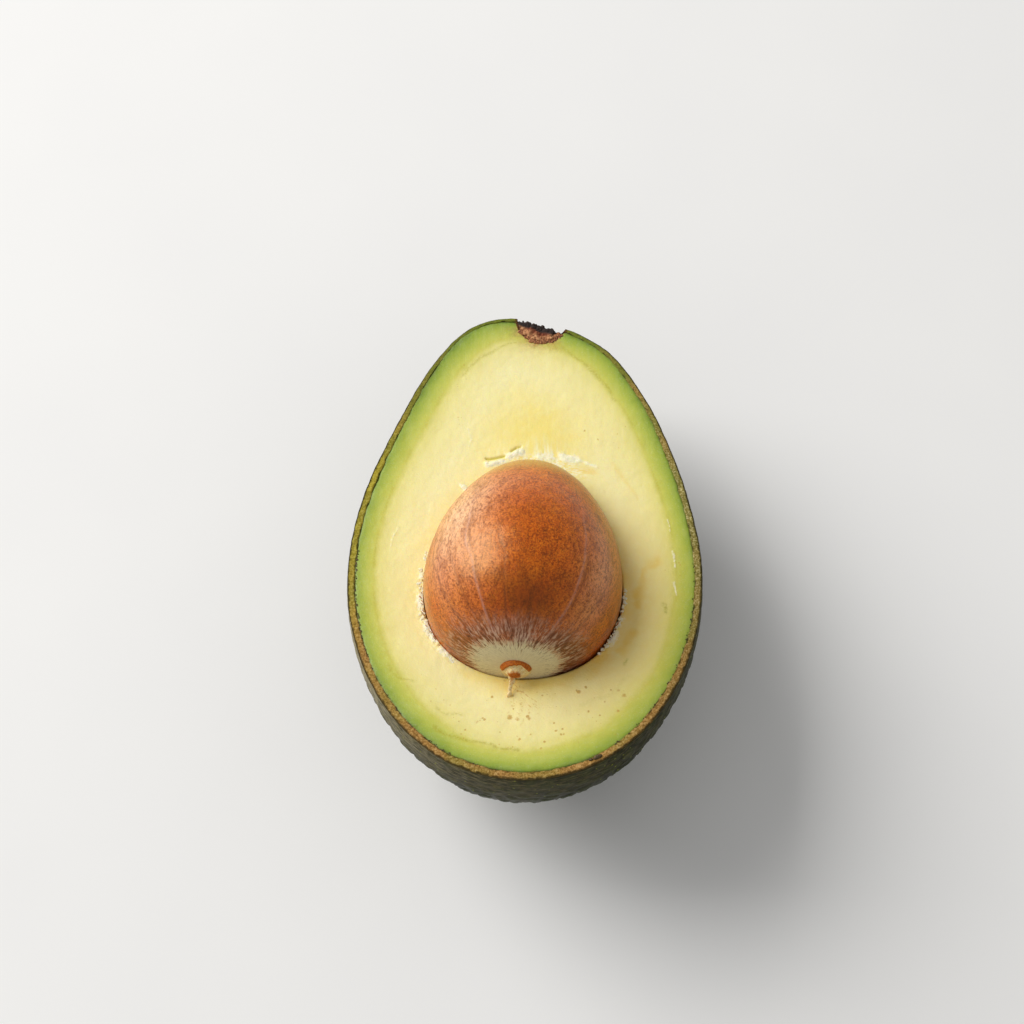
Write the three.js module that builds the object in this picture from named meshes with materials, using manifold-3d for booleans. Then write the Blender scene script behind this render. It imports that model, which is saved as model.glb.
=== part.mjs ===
// Half of a ripe avocado, cut lengthways beside its seed, lying on its skin with the cut face up.
//
// The half is built in its own fruit frame: +Y runs from the blunt end to the stem end, +Z is out of
// the cut face, and the fruit's long axis passes through the origin at mid length. The finished group
// is then tipped to the attitude in which the half rests, and lowered until its resting spot lies at
// z = 0 with the middle of that spot at the origin. Units are millimetres.

import * as THREE from "three";
import { mergeVertices } from "three/addons/utils/BufferGeometryUtils.js";
import Module from "manifold-3d";

const wasm = await Module();
wasm.setup();

// ---------------------------------------------------------------- driving dimensions
// The whole fruit, measured over its skin.
const FRUIT_LENGTH = 98.6;
const FRUIT_WIDTH = 65;
const PEEL_THICKNESS = 1.2;
// The knife runs beside the long axis, so this half is a little more than half of the fruit.
const CUT_OFFSET = 3.5;
// The pear shape: the radius along the axis, as a share of a sphere's, is this polynomial in c, which
// runs from 1 at the blunt end to -1 at the stem end.
const FRUIT_SHAPE = [0.985, 0.207, -0.092, -0.13, 0.175];
// The shoulder on the -X side of the stem stands higher than the other one.
const SHOULDER_SLOPE = 0.12;
const SHOULDER_LENGTH = 9;
// The neck leans a little towards +X, most at this distance from the stem end.
const NECK_LEAN = 0.7;
const NECK_FROM_END = 21;
const NECK_SPAN = 14;
// The seed, an egg with its blunt end towards the fruit's blunt end.
const SEED_LENGTH = 45.6;
const SEED_WIDTH = 36;
const SEED_SHAPE = [0.992, 0.208, 0.017];
const SEED_SETBACK = 6.7; // from mid length towards the blunt end
const SEED_RISE = 0.5; // of the seed's centre above the cut face
const SEED_PITCH = 9; // degrees, blunt end up
const SEED_LEAN = 4; // degrees, about the cut face's normal, blunt end towards -X
// The corky nub that held the seed to the fruit, with the strand torn out of the flesh.
const NUB_WIDTH = 6.3;
const NUB_HEIGHT = 1.8;
const STRAND_LENGTH = 2.6;
const STRAND_WIDTH = 0.9;
// The round hollow at the stem end, placed by its mouth's middle, and the dried plug of stem in it.
const STEM_ASIDE = 3.6; // towards +X
const STEM_RISE = 1.5; // towards +Z
const STEM_MOUTH_DROP = 1.3; // in from the fruit's end
const STEM_HOLLOW_WIDTH = 10.2;
const STEM_HOLLOW_DEPTH = 5.1;
const STEM_PLUG_RECESS = 1.6; // of the plug's outer face, below the mouth
const STEM_PLUG_SLOPE = 21; // degrees, the +X side lower
// How the half rests.
const REST_TILT = 6.5; // degrees, stem end down
const RESTING_SPOT_DEPTH = 0.5; // how much the skin is flattened there
// Space left between neighbouring pieces.
const CLEARANCE = 0.3;
// Facets around and along each round body.
const FRUIT_FACETS = [48, 32];
const SEED_FACETS = [36, 26];
const SMALL_FACETS = [20, 14];
const STRAND_SIDES = 8;
const FAR = 4 * FRUIT_LENGTH; // larger than anything cut with it

// ---------------------------------------------------------------- solids

function toSolid(geometry) {
  const bare = geometry.clone();
  for (const name of ["normal", "uv"]) bare.deleteAttribute(name);
  const merged = mergeVertices(bare, 1e-3);
  return new wasm.Manifold(
    new wasm.Mesh({
      numProp: 3,
      vertProperties: merged.attributes.position.array,
      triVerts: new Uint32Array(merged.index.array),
    }),
  );
}

function toGeometry(solid) {
  const mesh = solid.getMesh();
  const geometry = new THREE.BufferGeometry();
  geometry.setAttribute("position", new THREE.BufferAttribute(mesh.vertProperties, 3));
  geometry.setIndex(new THREE.BufferAttribute(mesh.triVerts, 1));
  geometry.computeVertexNormals();
  return geometry;
}

// A sphere whose points are moved by place, a function of the point on the unit sphere.
function roundBody([around, along], place) {
  const geometry = new THREE.SphereGeometry(1, around, along);
  const points = geometry.attributes.position;
  const point = new THREE.Vector3();
  for (let i = 0; i < points.count; i++) {
    place(point.fromBufferAttribute(points, i));
    points.setXYZ(i, point.x, point.y, point.z);
  }
  return geometry;
}

function polynomial(terms, c) {
  return terms.reduceRight((sum, term) => sum * c + term, 0);
}

// Everything on the lower side of the plane z = height.
function below(height) {
  return new THREE.BoxGeometry(FAR, FAR, FAR).translate(0, 0, height - FAR / 2);
}

// ---------------------------------------------------------------- the fruit's outside and layers
// The fruit's outer surface, taken in by inset all round.
function fruitBody(inset) {
  const halfLength = FRUIT_LENGTH / 2 - inset;
  const radius = FRUIT_WIDTH / 2 - inset;
  return roundBody(FRUIT_FACETS, (p) => {
    const swell = radius * polynomial(FRUIT_SHAPE, -p.y);
    p.set(p.x * swell, p.y * halfLength, p.z * swell);
    const shoulder = THREE.MathUtils.smoothstep(p.y, halfLength - SHOULDER_LENGTH, halfLength);
    p.y -= SHOULDER_SLOPE * p.x * shoulder;
    p.x += NECK_LEAN * Math.exp(-(((p.y - halfLength + NECK_FROM_END) / NECK_SPAN) ** 2));
  });
}
function restTurn() {
  return new THREE.Matrix4().makeRotationX(-THREE.MathUtils.degToRad(REST_TILT));
}
// The height of the fruit's axis over the table, and where the resting spot is along the axis.
function findRest() {
  const points = fruitBody(0).applyMatrix4(restTurn()).attributes.position;
  const lowest = { z: Infinity, y: 0 };
  for (let i = 0; i < points.count; i++)
    if (points.getZ(i) < lowest.z) Object.assign(lowest, { z: points.getZ(i), y: points.getY(i) });
  return { height: -lowest.z - RESTING_SPOT_DEPTH, along: lowest.y };
}
// The space between the knife's cut and the table, in the fruit frame.
function betweenCutAndTable(restHeight) {
  const underTheTable = below(-restHeight).applyMatrix4(restTurn().invert());
  return toSolid(below(CUT_OFFSET)).subtract(toSolid(underTheTable));
}

// ---------------------------------------------------------------- the seed
function seedPlace() {
  return new THREE.Matrix4()
    .makeTranslation(0, -SEED_SETBACK, CUT_OFFSET + SEED_RISE)
    .multiply(new THREE.Matrix4().makeRotationZ(-THREE.MathUtils.degToRad(SEED_LEAN)))
    .multiply(new THREE.Matrix4().makeRotationX(-THREE.MathUtils.degToRad(SEED_PITCH)));
}
// The seed's surface, grown all round by grow.
function seedBody(grow) {
  const halfLength = SEED_LENGTH / 2 + grow;
  const radius = SEED_WIDTH / 2 + grow;
  return roundBody(SEED_FACETS, (p) => {
    const swell = radius * polynomial(SEED_SHAPE, -p.y);
    p.set(p.x * swell, p.y * halfLength, p.z * swell);
  }).applyMatrix4(seedPlace());
}
// A domed nub on the seed's blunt end, with the strand running down from it onto the cut face.
function seedStalk() {
  const reach = SEED_LENGTH / 2;
  const nub = roundBody(SMALL_FACETS, (p) => {
    p.set((p.x * NUB_WIDTH) / 2, p.y * NUB_HEIGHT - reach, (p.z * NUB_WIDTH) / 2);
  }).applyMatrix4(seedPlace());
  const root = new THREE.Vector3(0, -reach - NUB_HEIGHT / 2, 0).applyMatrix4(seedPlace());
  const tip = new THREE.Vector3(root.x - STRAND_LENGTH / 4, root.y - STRAND_LENGTH, CUT_OFFSET);
  tip.z += CLEARANCE + STRAND_WIDTH / 2;
  const corners = Array.from({ length: STRAND_SIDES }, (_, i) => {
    const angle = (2 * Math.PI * i) / STRAND_SIDES;
    return new THREE.Vector2(Math.cos(angle), Math.sin(angle)).multiplyScalar(STRAND_WIDTH / 2);
  });
  const extrudePath = new THREE.LineCurve3(root, tip);
  const strand = new THREE.ExtrudeGeometry(new THREE.Shape(corners), { extrudePath, steps: 1 });
  return toSolid(nub)
    .add(toSolid(strand))
    .subtract(toSolid(seedBody(CLEARANCE)))
    .subtract(toSolid(below(CUT_OFFSET + CLEARANCE)));
}

// ---------------------------------------------------------------- the stem end
// Moves a shape from the origin to the middle of the hollow's mouth.
function stemPlace() {
  return new THREE.Matrix4().makeTranslation(STEM_ASIDE, FRUIT_LENGTH / 2 - STEM_MOUTH_DROP, STEM_RISE);
}
// The hollow that the stem grew in, opened all round by grow.
function stemHollow(grow) {
  const wide = STEM_HOLLOW_WIDTH / 2 + grow;
  const deep = STEM_HOLLOW_DEPTH + grow;
  const bowl = roundBody(SMALL_FACETS, (p) => p.set(p.x * wide, p.y * deep, p.z * wide));
  return toSolid(bowl.applyMatrix4(stemPlace()));
}
// The dried stem in the bottom of the hollow, with a sloping outer face.
function stemPlug() {
  const inside = new THREE.BoxGeometry(FAR, FAR, FAR).translate(0, -FAR / 2, 0);
  inside.rotateZ(-THREE.MathUtils.degToRad(STEM_PLUG_SLOPE)).translate(0, -STEM_PLUG_RECESS, 0);
  return stemHollow(-CLEARANCE).intersect(toSolid(inside.applyMatrix4(stemPlace())));
}

// ---------------------------------------------------------------- assembly

const LOOKS = {
  peel: { color: 0x2b3322, roughness: 0.45, metalness: 0 },
  flesh: { color: 0xe9dc8c, roughness: 0.55, metalness: 0 },
  seed: { color: 0x9a4a17, roughness: 0.45, metalness: 0 },
  stalk: { color: 0xc98d4e, roughness: 0.8, metalness: 0 },
  stem: { color: 0x2a1712, roughness: 0.9, metalness: 0 },
};

function piece(name, solid, look) {
  const mesh = new THREE.Mesh(toGeometry(solid), new THREE.MeshStandardMaterial(LOOKS[look]));
  mesh.name = name;
  return mesh;
}

function avocadoHalf() {
  const rest = findRest();
  const half = betweenCutAndTable(rest.height);
  const layer = (inset) => toSolid(fruitBody(inset)).intersect(half).subtract(stemHollow(0));
  const peel = layer(0).subtract(toSolid(fruitBody(PEEL_THICKNESS)));
  const flesh = layer(PEEL_THICKNESS + CLEARANCE).subtract(toSolid(seedBody(CLEARANCE)));
  const group = new THREE.Group();
  group.add(
    piece("peel", peel, "peel"),
    piece("flesh", flesh, "flesh"),
    piece("seed", toSolid(seedBody(0)), "seed"),
    piece("seed_stalk", seedStalk(), "stalk"),
    piece("stem_plug", stemPlug().intersect(half), "stem"),
  );
  group.rotation.setFromRotationMatrix(restTurn());
  group.position.set(0, -rest.along, rest.height);
  return group;
}
export default avocadoHalf();
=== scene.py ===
"""The looks of a ripe avocado half: pebbled peel, cut flesh, seed with its corky stalk, dried stem.

Shapes are worked out in the face frame: millimetres, origin on the cut face at the fruit's mid length,
+X right, +Y towards the stem end and +Z out of the cut face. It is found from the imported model, and
to_row() takes points from it to the row's frame in metres.
"""

import itertools
import math

import bpy
import numpy as np
from mathutils import Matrix, Vector
from mathutils.bvhtree import BVHTree


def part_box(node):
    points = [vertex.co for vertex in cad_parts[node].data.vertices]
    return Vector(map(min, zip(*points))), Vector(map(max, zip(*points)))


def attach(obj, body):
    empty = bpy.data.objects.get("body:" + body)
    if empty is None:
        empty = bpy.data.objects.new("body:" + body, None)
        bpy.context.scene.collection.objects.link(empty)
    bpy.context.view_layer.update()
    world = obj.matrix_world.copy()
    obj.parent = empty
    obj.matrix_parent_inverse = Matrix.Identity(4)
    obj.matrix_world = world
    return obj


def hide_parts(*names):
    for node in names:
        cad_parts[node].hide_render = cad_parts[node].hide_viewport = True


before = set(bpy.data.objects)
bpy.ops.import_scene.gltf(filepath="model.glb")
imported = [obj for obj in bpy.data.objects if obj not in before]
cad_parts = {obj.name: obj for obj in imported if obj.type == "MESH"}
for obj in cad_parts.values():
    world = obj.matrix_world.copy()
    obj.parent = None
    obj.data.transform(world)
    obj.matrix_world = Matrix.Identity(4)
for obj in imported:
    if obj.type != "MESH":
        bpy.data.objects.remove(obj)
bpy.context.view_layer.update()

METRE = 1000.0  # millimetres in it

# ---- driving values, millimetres and degrees
# The camera, as it stands to the cut face.
CAMERA_AIM = (-2.2, 2.5, 4.5)
CAMERA_TILT = 31.0  # off the cut face's normal, towards the blunt end
CAMERA_SIDE = 1.0  # towards +X
CAMERA_DISTANCE = 466.0
CAMERA_LENS = 90.0
SENSOR = 36.0
# The soft box, with its side in metres and its power in watts, and the room's own light.
KEY_PLACE = (-1200, 665, 1105)
KEY_SIZE = 1.31
KEY_POWER = 34.0
KEY_COLOUR = (1.0, 0.985, 0.96)
ROOM_COLOUR = (1.0, 0.995, 0.98, 1.0)
ROOM_LIGHT = 0.38
FLOOR_HALF = 4.0  # half the floor's side, metres
# The dense meshes: points round the long way, and rings over each surface.
AROUND = 900
SKIN_RINGS = 170
RIM_RINGS = 12
FLESH_RINGS = 150
CAVITY_RINGS = 12
SEED_AROUND = 420
SEED_RINGS = 280
# About how far the skin runs round the rim and down, and the seed round and end to end.
SKIN_ROUND = 270.0
SKIN_DOWN = 62.0
SEED_ROUND = 113.0
SEED_LONG = 64.0
SOFTEN_FRUIT = 1.8  # how far the facets of the fruit are smoothed away
SOFTEN_SEED = 1.3
# The round hollow at the stem end, its centre and radius.
HOLLOW = np.array([3.6, 48.0, -2.0])
HOLLOW_RADIUS = 5.1
STEM_SLANT = 0.384  # how far the stem's end drops for each millimetre towards +X
BLUNT_CAP = 8.6  # radius of the pale cap on the seed's blunt end, over the surface
NUB_RADIUS = 3.2


# ---- noise
# Large odd numbers that stir a cell's own numbers into a random one, one after another.
CELL_STIR = np.array([73856093, 19349663, 83492791], np.uint64)
SEED_STIR = 2654435761
FIRST_STIR = np.uint64(6364136223846793005)
SECOND_STIR = np.uint64(14029467366897019727)
LOW_BITS = 0xFFFFFF


def chance(cells, seed):
    """A steady random number from 0 to 1 for each whole-numbered cell."""
    mixed = np.bitwise_xor.reduce(cells.astype(np.int64).astype(np.uint64) * CELL_STIR, axis=-1)
    mixed = (mixed + np.uint64(seed * SEED_STIR % 2**32)) * FIRST_STIR
    mixed ^= mixed >> np.uint64(29)
    mixed *= SECOND_STIR
    mixed ^= mixed >> np.uint64(32)
    return (mixed & np.uint64(LOW_BITS)).astype(float) / LOW_BITS


def noise(points, size, seed=0):
    """Smooth noise from -1 to 1 whose lumps are about that size."""
    p = points / size
    cell = np.floor(p)
    f = p - cell
    f = f * f * f * (f * (f * 6 - 15) + 10)
    total = np.zeros(p.shape[:-1])
    for corner in itertools.product((0, 1), repeat=3):
        c = np.array(corner)
        weight = np.where(c == 1, f, 1 - f).prod(-1)
        total += weight * chance(cell + c, seed)
    return 2 * total - 1


def rough(points, size, octaves, seed=0):
    """Noise with finer and finer lumps added, from about -1 to 1."""
    total = np.zeros(points.shape[:-1])
    for k in range(octaves):
        total += noise(points + 17.3 * k, size / 2**k, seed + k) / 2**k
    return total / 1.5


def scattered(points, size, seed=0):
    """Distances to the nearest and the next of points scattered one to a cell, as shares of the cell."""
    p = points / size
    cell = np.floor(p)
    best = np.full(p.shape[:-1], 9.0)
    second = np.full(p.shape[:-1], 9.0)
    for corner in itertools.product((-1, 0, 1), repeat=3):
        c = cell + np.array(corner)
        spot = c + np.stack([chance(c, seed + k) for k in (1, 2, 3)], -1)
        d = norm(p - spot)
        second = np.minimum(second, np.maximum(best, d))
        best = np.minimum(best, d)
    return best, second


def ease(x, low, high):
    """0 below low, 1 above high, smooth between."""
    t = np.clip((x - low) / (high - low), 0, 1)
    return t * t * (3 - 2 * t)


def bump(x, middle, width):
    """1 in the middle, falling off over width to both sides."""
    return np.exp(-(((x - middle) / width) ** 2))


def patch(x, middle_x, width_x, y, middle_y, width_y):
    """A bump in two values at once."""
    return np.exp(-(((x - middle_x) / width_x) ** 2) - ((y - middle_y) / width_y) ** 2)


def norm(vectors):
    return np.linalg.norm(vectors, axis=-1)


def run(points):
    """How far each point is from the first one, along the first axis of the points."""
    steps = norm(np.diff(points, axis=0))
    return np.concatenate([np.zeros_like(steps[:1]), np.cumsum(steps, 0)])


def tube(radius, angle, height):
    """Points at a radius and an angle round the last axis, and at a height along it."""
    return np.stack(np.broadcast_arrays(radius * np.cos(angle), radius * np.sin(angle), height), -1)


def wrapped(angles):
    """The same angles, from minus a half turn to a half turn."""
    return np.angle(np.exp(1j * angles))


def turns(count):
    """Angles all the way round, the last one step short of the first."""
    return np.linspace(0, 2 * math.pi, count, endpoint=False)


def ball(polar, turn):
    """Unit directions from the last axis, by rings, and the angle round of each."""
    v, u = np.meshgrid(polar, turn, indexing="ij")
    return np.stack([np.sin(v) * np.cos(u), np.sin(v) * np.sin(u), np.cos(v)], -1), u


def soften(grid, sigmas, over):
    """A grid smoothed by a bell curve that many cells wide on each axis; over carries it past edges."""
    for axis, sigma in enumerate(sigmas):
        reach = int(3 * sigma) + 1
        weights = np.exp(-0.5 * (np.arange(-reach, reach + 1) / sigma) ** 2)
        weights /= weights.sum()
        padded = over(grid, axis, reach)
        size = grid.shape[axis]
        grid = sum(w * np.take(padded, range(k, k + size), axis) for k, w in enumerate(weights))
    return grid


# ---- the face frame
def read(collection, attribute, width):
    values = np.zeros(len(collection) * width, np.float32)
    collection.foreach_get(attribute, values)
    return values.reshape(-1, width).astype(float)


def find_face_frame():
    """The face frame's axes, as rows, and its origin, from the flesh's and the peel's flat cut."""
    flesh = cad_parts["flesh"].data
    areas = read(flesh.polygons, "area", 1)[:, 0]
    normals = read(flesh.polygons, "normal", 3)
    z = normals[areas.argmax()]
    z[0] = 0
    z /= np.linalg.norm(z)
    y = np.cross(z, (1, 0, 0))
    cut = read(flesh.polygons, "center", 3)[areas.argmax()] @ z
    rim = read(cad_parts["peel"].data.vertices, "co", 3)
    rim = rim[np.abs(rim @ z - cut) < 1e-5]
    middle = ((rim @ y).min() + (rim @ y).max()) / 2
    return np.array([(1, 0, 0), y, z]), middle * y + cut * z


AXES, ORIGIN = find_face_frame()


def to_row(points):
    return ORIGIN + (np.asarray(points) / METRE) @ AXES


def to_face(points):
    return (np.asarray(points) - ORIGIN) @ AXES.T * METRE


def solid(node):
    """A CAD node's points in the face frame, and its surface as a search tree."""
    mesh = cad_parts[node].data
    points = to_face(read(mesh.vertices, "co", 3))
    tree = BVHTree.FromPolygons(points.tolist(), [tuple(p.vertices) for p in mesh.polygons])
    return points, tree


FAR_OUT = 200.0


def reach(tree, centre, directions):
    """How far the outside of a solid is from centre, along each direction. Nothing there gives NaN."""
    flat = directions.reshape(-1, 3)
    out = np.full(len(flat), np.nan)
    c = Vector(centre)
    for i, d in enumerate(flat):
        way = Vector(d)
        hit = tree.ray_cast(c + way * FAR_OUT, -way)
        if hit[0] is not None:
            out[i] = FAR_OUT - hit[3]
    return out.reshape(directions.shape[:-1])


# ---- meshes
def with_caps(values):
    """Values on rings in one row, with the first and the last ring's means for the caps' middles."""
    values = np.asarray(values, float)
    row = values.reshape((-1,) + values.shape[2:])
    return np.concatenate([row, values[:1].mean(1), values[-1:].mean(1)])


def ring_mesh(rings):
    """A closed body from rings of points, capped at both ends: points, quads and triangles."""
    count, around = rings.shape[:2]
    here = np.arange(around)
    after = np.roll(here, -1)
    start = around * np.arange(count - 1)[:, None]
    quads = [start + here, start + after, start + around + after, start + around + here]
    first, last = count * around, count * around + 1
    end = (count - 1) * around
    caps = [(first + 0 * here, after, here), (last + 0 * here, end + here, end + after)]
    return (with_caps(rings), np.stack(quads, -1).reshape(-1, 4),
            np.concatenate([np.stack(cap, -1) for cap in caps]))


def volume(points, faces):
    """Six times the volume of a closed body, below 0 where its faces look inwards."""
    fans = [faces[:, [0, k, k + 1]] for k in range(1, faces.shape[1] - 1)]
    a, b, c = np.moveaxis(points[np.concatenate(fans)], 1, 0)
    return (a * np.cross(b, c)).sum()


def joined(parts, values):
    """A value for each part of a body's rings, number or array, put together as the parts are."""
    tail = max((np.shape(value)[2:] for value in values), key=len)
    return np.concatenate([np.broadcast_to(value, part.shape[:2] + tail)
                           for part, value in zip(parts, values)])


def link(name, data):
    """A new object in the scene."""
    thing = bpy.data.objects.new(name, data)
    bpy.context.scene.collection.objects.link(thing)
    return thing


def make(name, body, material, values=None):
    """An object of the part from a body in the face frame, its rings' values stored on its points."""
    points, *kinds = body
    if sum(volume(points, faces) for faces in kinds) < 0:
        kinds = [faces[:, ::-1] for faces in kinds]
    mesh = bpy.data.meshes.new(name)
    mesh.from_pydata(to_row(points).tolist(), [], [face for faces in kinds for face in faces.tolist()])
    mesh.polygons.foreach_set("use_smooth", [True] * len(mesh.polygons))
    for key, value in (values or {}).items():
        value = with_caps(value).astype(np.float32)
        kind, field = ("FLOAT", "value") if value.ndim == 1 else ("FLOAT_VECTOR", "vector")
        mesh.attributes.new(key, kind, "POINT").data.foreach_set(field, value.ravel())
    mesh.materials.append(material)
    mesh.update()
    piece = link(name, mesh)
    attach(piece, "root")
    return piece


def grid_normals(grid):
    """Unit normals of rings of points, pointing away from the long way's middle."""
    along = np.gradient(grid, axis=0)
    across = np.roll(grid, -1, 1) - np.roll(grid, 1, 1)
    normal = np.cross(across, along)
    normal /= norm(normal)[..., None] + 1e-12
    outward = (normal * (grid - grid.mean((0, 1)))).sum(-1).mean()
    return normal * (1 if outward > 0 else -1)


# ---- the fruit's form
def bowl_directions():
    """Directions from the face's middle to the skin, in rings from the cut down, and their angles."""
    drop = (np.linspace(0.0, 1.0, SKIN_RINGS) ** 1.15) * (math.pi / 2 - 0.012) + 0.004
    even = np.linspace(0, 2 * math.pi, 721)
    _, tree = solid("peel")
    flat = tube(1, even, -0.01)
    far = fill_gap(reach(tree, (0, 0, 0), flat / norm(flat)[:, None])[None])
    rim = flat * far[0][:, None]
    length = run(rim)
    turn = np.interp(np.linspace(0, length[-1], AROUND, endpoint=False), length, even)
    d, t = np.meshgrid(drop, turn, indexing="ij")
    return np.stack([np.cos(d) * np.cos(t), np.cos(d) * np.sin(t), -np.sin(d)], -1), turn


def past_ball_edges(grid, axis, cells):
    """Carries a ball's radii on past their edges: round the rings, and over both poles."""
    if axis == 1:
        return np.concatenate([grid[:, -cells:], grid, grid[:, :cells]], 1)
    half = grid.shape[1] // 2
    first = np.roll(grid[1:cells + 1][::-1], half, 1)
    last = np.roll(grid[-cells - 1:-1][::-1], half, 1)
    return np.concatenate([first, grid, last], 0)


def past_bowl_edges(grid, axis, cells):
    """The same for a bowl, whose radii run straight on past its top ring."""
    padded = past_ball_edges(grid, axis, cells)
    if axis == 0:
        padded[:cells] = 2 * grid[:1] - grid[1:cells + 1][::-1]
    return padded


def into_hollow(directions, radius):
    """How far along each direction the stem's hollow starts, or infinity."""
    along = directions @ HOLLOW
    inside = along**2 - (HOLLOW @ HOLLOW) + radius**2
    return np.where((inside > 0) & (along > 0), along - np.sqrt(np.maximum(inside, 0)), np.inf)


def stopped(points, directions, radius):
    """Points out along those directions, brought in to where the stem's hollow starts."""
    return points * np.minimum(1, into_hollow(directions, radius) / norm(points))[..., None]


def fill_gap(radii, bad=False):
    """Replaces missing and bad cells by what lies to both sides of them along the rings."""
    index = np.arange(radii.shape[1])
    for row, wrong in zip(radii, np.isnan(radii) | bad):
        if wrong.any():
            row[wrong] = np.interp(index[wrong], index[~wrong], row[~wrong])
    return radii


def fruit_form():
    """The smooth outside of the fruit as if it had no stem hollow: directions, radii and angles."""
    directions, turn = bowl_directions()
    _, tree = solid("peel")
    radii = reach(tree, (0, 0, 0), directions)
    hits = directions * radii[..., None]
    bad = norm(hits - HOLLOW) < HOLLOW_RADIUS + 0.35
    radii = fill_gap(radii, bad)
    sigmas = (SOFTEN_FRUIT * SKIN_RINGS / SKIN_DOWN, SOFTEN_FRUIT * AROUND / SKIN_ROUND)
    return directions, soften(radii, sigmas, past_bowl_edges), turn


DIRECTIONS, FRUIT_RADII, TURN = fruit_form()
FRUIT = DIRECTIONS * FRUIT_RADII[..., None]
FRUIT_NORMALS = grid_normals(FRUIT)
RIM_LINE = FRUIT[0] * (1, 1, 0)


def skin_distance(points):
    """How far points on the cut face are from the outside of the skin."""
    rim = RIM_LINE[::3, :2]
    at_a_time = 4000  # keeps the table of distances small
    flat = points.reshape(-1, points.shape[-1])[:, :2]
    nearest = [np.sqrt(((flat[start:start + at_a_time, None] - rim) ** 2).sum(-1).min(1))
               for start in range(0, len(flat), at_a_time)]
    return np.concatenate(nearest).reshape(points.shape[:-1])


# ---- the seed's form
def seed_axis():
    """The seed's middle, and unit axes with the last one towards the blunt end."""
    points, _ = solid("seed")
    centred = points - points.mean(0)
    _, _, ways = np.linalg.svd(centred, full_matrices=False)
    long = ways[0] * (1 if ways[0][1] < 0 else -1)
    side = np.cross((0, 0, 1), long)
    side /= np.linalg.norm(side)
    along = centred @ long
    middle = points.mean(0) + long * (along.max() + along.min()) / 2
    return middle, np.array([side, np.cross(long, side), long])


SEED_MIDDLE, SEED_AXES = seed_axis()


def seed_form():
    """The smooth seed in rings from the blunt end, and the angles round it."""
    polar = np.linspace(0.004, math.pi - 0.004, SEED_RINGS)
    own, turn = ball(polar, turns(SEED_AROUND))
    _, tree = solid("seed")
    radii = reach(tree, SEED_MIDDLE, own @ SEED_AXES)
    sigmas = (SOFTEN_SEED * SEED_RINGS / SEED_LONG, SOFTEN_SEED * SEED_AROUND / SEED_ROUND)
    radii = soften(radii, sigmas, past_ball_edges)
    return SEED_MIDDLE + own @ SEED_AXES * radii[..., None], turn


SEED, SEED_TURN = seed_form()


def seed_contact():
    """How far the seed reaches along each of the face's directions, in the plane of the cut."""
    low, high = SEED[:-1], SEED[1:]
    crossing = (low[..., 2] * high[..., 2]) < 0
    share = (low[..., 2] / (low[..., 2] - high[..., 2]))[crossing][:, None]
    p = low[crossing] + (high[crossing] - low[crossing]) * share
    angle = np.arctan2(p[:, 1], p[:, 0]) % (2 * math.pi)
    order = angle.argsort()
    radius = np.hypot(p[:, 0], p[:, 1])
    return np.interp(TURN, angle[order], radius[order], period=2 * math.pi)


CONTACT = seed_contact()


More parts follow.
